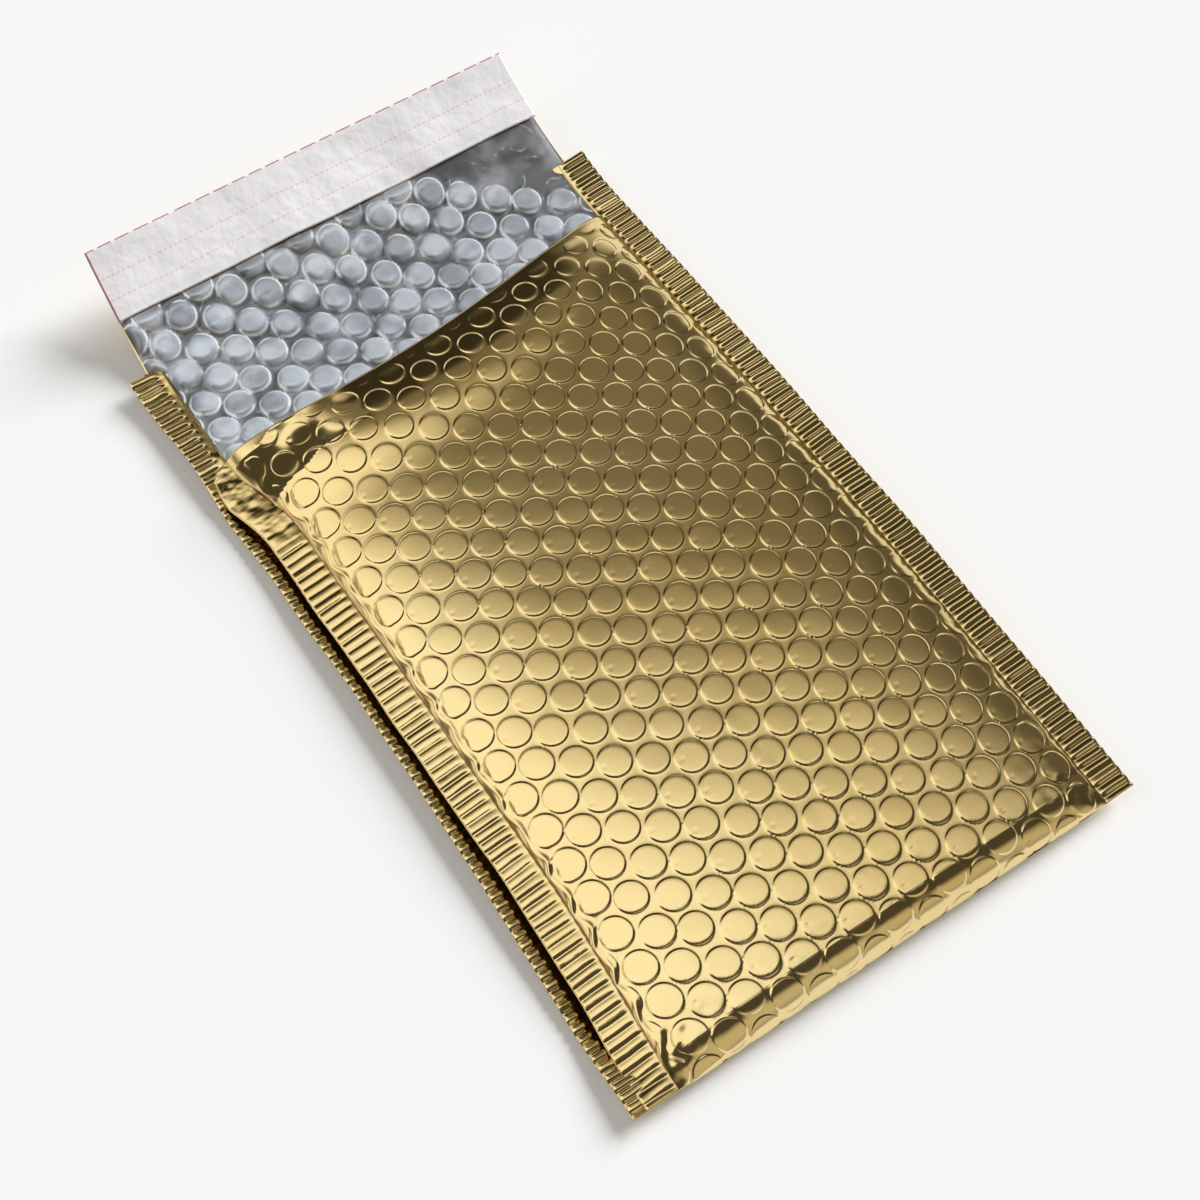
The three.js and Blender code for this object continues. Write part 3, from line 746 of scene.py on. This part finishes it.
def liningFront():
    share = np.linspace(-1, 1, lining["frontColumns"] + 1)
    line = mouthAt(across(share, mouth["near"])) - lining["belowMouth"]
    y = np.maximum(frontRows(line, lining["frontRows"], lining["frontFoldRows"]), lining["frontStart"])
    s = np.repeat(share[None, :], len(y), 0)
    toMouth = line[None, :] - y
    x = across(s, y, lining["inset"])
    z = atMouth(frontHeight(s, y, lining["frontInset"]), s, toMouth)
    room = ease((1 - np.abs(s)) * lining["halfWidth"] / 4) * ease(toMouth / 4) * ease((y - 8) / 5)
    marks = {"sheet": np.stack([x, y, 0 * y], -1), "room": room, "girth": np.ones_like(room)}
    made = sheetOf("liningFront", np.stack([x, y, z], -1), marks, flip=True)
    return baked(made, emboss, {**liningBubbles, "Relief": 1.0, "Seed": 33})


# Closure: a glue band under a peel-off strip at the end of the flap
closure = dict(width=21.0, over=0.2, columns=260, rows=44, lift=3.0, wave=0.35, curl=0.8, curlWidth=3.0,
               wall=0.16, glueWidth=14.0, glueInset=3.0, glueColumns=120, glueRows=12, glueLift=2.35,
               glueWave=0.06, glueWall=0.3)


def walled(name, points, look, thickness, marks=None):
    obj = sheetOf(name, points, marks)
    obj.data.materials.append(look)
    wall = obj.modifiers.new("wall", "SOLIDIFY")
    wall.thickness = thickness * mm
    return obj


def peelStrip():
    x, y = flapGrid(-closure["over"], total - closure["width"], total, closure["columns"], closure["rows"])
    over = total - y
    curl = hill(over - closure["width"], closure["curlWidth"])
    wave = closure["wave"] * smoothNoise(x, y * 0.5, 34.0, 14) * (1 - hill(over, 3.0))
    z = rise(y) + closure["lift"] + wave - closure["curl"] * curl \
        + 0.3 * curl * (1 + smoothNoise(x, 0, 70.0, 15))
    y = y + 0.3 * curl * smoothNoise(x, 0, 50.0, 16)
    ribbon = np.stack([x + 90, over, x + flapSide(y)], -1)
    return walled("releaseLiner", np.stack([x, y, z], -1), linerLook, closure["wall"], {"ribbon": ribbon})


def glueBand():
    end = total - closure["glueInset"]
    x, y = flapGrid(closure["glueInset"], end - closure["glueWidth"], end, closure["glueColumns"],
                    closure["glueRows"])
    z = rise(y) + closure["glueLift"] + closure["glueWave"] * smoothNoise(x, y, 9.0, 17)
    return walled("glueBand", np.stack([x, y, z], -1), glueLook, closure["glueWall"])


pieces = [
    (filmFront(), "gold_film", "outer_film"),
    (filmBack(), "gold_film", None),
    (filmFlap(), "gold_film", None),
    (flangeRight(), "gold_film", None),
    (flangeLeftBack(), "gold_film", None),
    (flangeLeftFront(), "gold_film", None),
    (liningBack(), "bubble_film", "bubble_lining"),
    (liningFront(), "bubble_film", None),
    (glueBand(), "adhesive", "adhesive_strip"),
    (peelStrip(), "liner", "release_liner"),
]
for piece, slot, node in pieces:
    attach(piece, "root")
    if node:
        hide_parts(node)
    print(piece.name, len(piece.data.polygons), "faces")

# Camera at the photograph's place
view = dict(place=(-0.1829, -0.2814, 0.5515), forward=(0.2812, 0.4060, -0.8696), up=(0.4826, 0.7234, 0.4938),
            lens=62.18)
forward = Vector(view["forward"]).normalized()
right = forward.cross(Vector(view["up"])).normalized()
up = right.cross(forward)
camera = bpy.data.objects.new("camera", bpy.data.cameras.new("camera"))
bpy.context.scene.collection.objects.link(camera)
turned = Matrix((right, up, -forward)).transposed().to_4x4()
camera.matrix_world = Matrix.Translation(view["place"]) @ turned
camera.data.lens = view["lens"]
camera.data.clip_start = 0.01
bpy.context.scene.camera = camera

# Floor and lamp, in metres
studio = dict(floor=(0.85, 0.855, 0.87, 1), reach=4.0, below=-0.0004, seen=0.93, share=0.1,
              keyFrom=(2.4, 0.4, 1.45), keySpread=34.0, keyPower=4.4)


def studioFloor():
    mesh = bpy.data.meshes.new("floor")
    reach, below = studio["reach"], studio["below"]
    mesh.from_pydata([(-reach, -reach, below), (reach, -reach, below), (reach, reach, below),
                      (-reach, reach, below)], [], [(0, 1, 2, 3)])
    obj = bpy.data.objects.new("floor", mesh)
    bpy.context.scene.collection.objects.link(obj)
    made, net = material("floor")
    shader = net.node("ShaderNodeBsdfDiffuse", {}, {"Color": studio["floor"]})
    glow = net.node("ShaderNodeEmission", {}, {"Color": (1, 1, 1, 1), "Strength": studio["seen"]})
    rays = net.node("ShaderNodeLightPath", out="Is Camera Ray")
    looks = net.math("MAXIMUM", rays, rays.of("Is Glossy Ray")) * studio["share"]
    finish(net, net.node("ShaderNodeMixShader", {}, {0: looks, 1: shader, 2: glow}))
    mesh.materials.append(made)


def keyLamp():
    data = bpy.data.lights.new("key", "SUN")
    data.angle = math.radians(studio["keySpread"])
    data.energy = studio["keyPower"]
    obj = bpy.data.objects.new("key", data)
    obj.location = studio["keyFrom"]
    obj.rotation_euler = (-Vector(studio["keyFrom"])).to_track_quat("-Z", "Y").to_euler()
    obj.visible_glossy = False
    bpy.context.scene.collection.objects.link(obj)


# The room that the film mirrors: one large soft light, dark sides and a bright ring near the horizon.
# Each pair says where a zone starts and ends, as a share of the direction's length.
sky = dict(room=0.2, side=0.12, sideFrom=(0.6, 0.78), far=0.03, farFrom=(0.62, 0.72), behind=0.07,
           front=(-0.02, 0.05), rear=0.6, rearFrom=(-0.85, -0.5), soft=1.16, slant=1.45, softEnd=(0.2, 1.0),
           softHeight=(0.25, 0.5), horizon=0.95, low=0.35, lowEnd=(-0.3, 0.1), awayFrom=(0.5, 0.68),
           ring=(0.05, 0.24), ringWider=(0.11, 0.18), seen=0.92, shade=(1.0, 0.9, 0.7, 1),
           pale=(1.0, 0.998, 0.995, 1))


def over(level, share, value):  # one brightness laid over another
    return level * (1.0 - share) + value * share


def studioWorld():
    world = bpy.data.worlds.new("studio")
    bpy.context.scene.world = world
    world.use_nodes = True
    world.node_tree.nodes.clear()
    net = Net(world.node_tree)
    parts = net.parts(net.node("ShaderNodeTexCoord", out="Generated"))
    east, north, height = parts, parts.of("Y"), parts.of("Z")
    ahead = net.step(north, *sky["front"])
    level = over(sky["room"], net.step(east, *sky["sideFrom"]), sky["side"])
    level = over(level, net.step(north, *sky["farFrom"]), sky["far"])
    level = over(level, 1.0 - ahead, sky["behind"])
    level = over(level, 1.0 - net.step(north, *sky["rearFrom"]), sky["rear"])
    soft = (1.0 - net.step(east + north * sky["slant"], *sky["softEnd"])) * ahead \
        * net.step(height, *sky["softHeight"])
    level = over(level, soft, sky["soft"])
    low = over(sky["horizon"], 1.0 - net.step(north, *sky["lowEnd"]), sky["low"])
    away = net.step(north, *sky["awayFrom"])
    start, end = [at + away * wider for at, wider in zip(sky["ring"], sky["ringWider"])]
    ring = 1.0 - net.step(height, start, end)
    level = over(level, ring, low)
    rays = net.node("ShaderNodeLightPath", out="Is Camera Ray")
    colour = net.mixed(net.math("MAXIMUM", soft, ring), sky["shade"], sky["pale"])
    strength = over(level, rays, sky["seen"])
    light = net.node("ShaderNodeBackground", {}, {"Color": colour, "Strength": strength})
    leave = net.tree.nodes.new("ShaderNodeOutputWorld")
    net.tree.links.new(light.socket, leave.inputs["Surface"])


studioFloor()
keyLamp()
studioWorld()
bpy.context.scene.view_settings.view_transform = "Standard"

print("scene done")
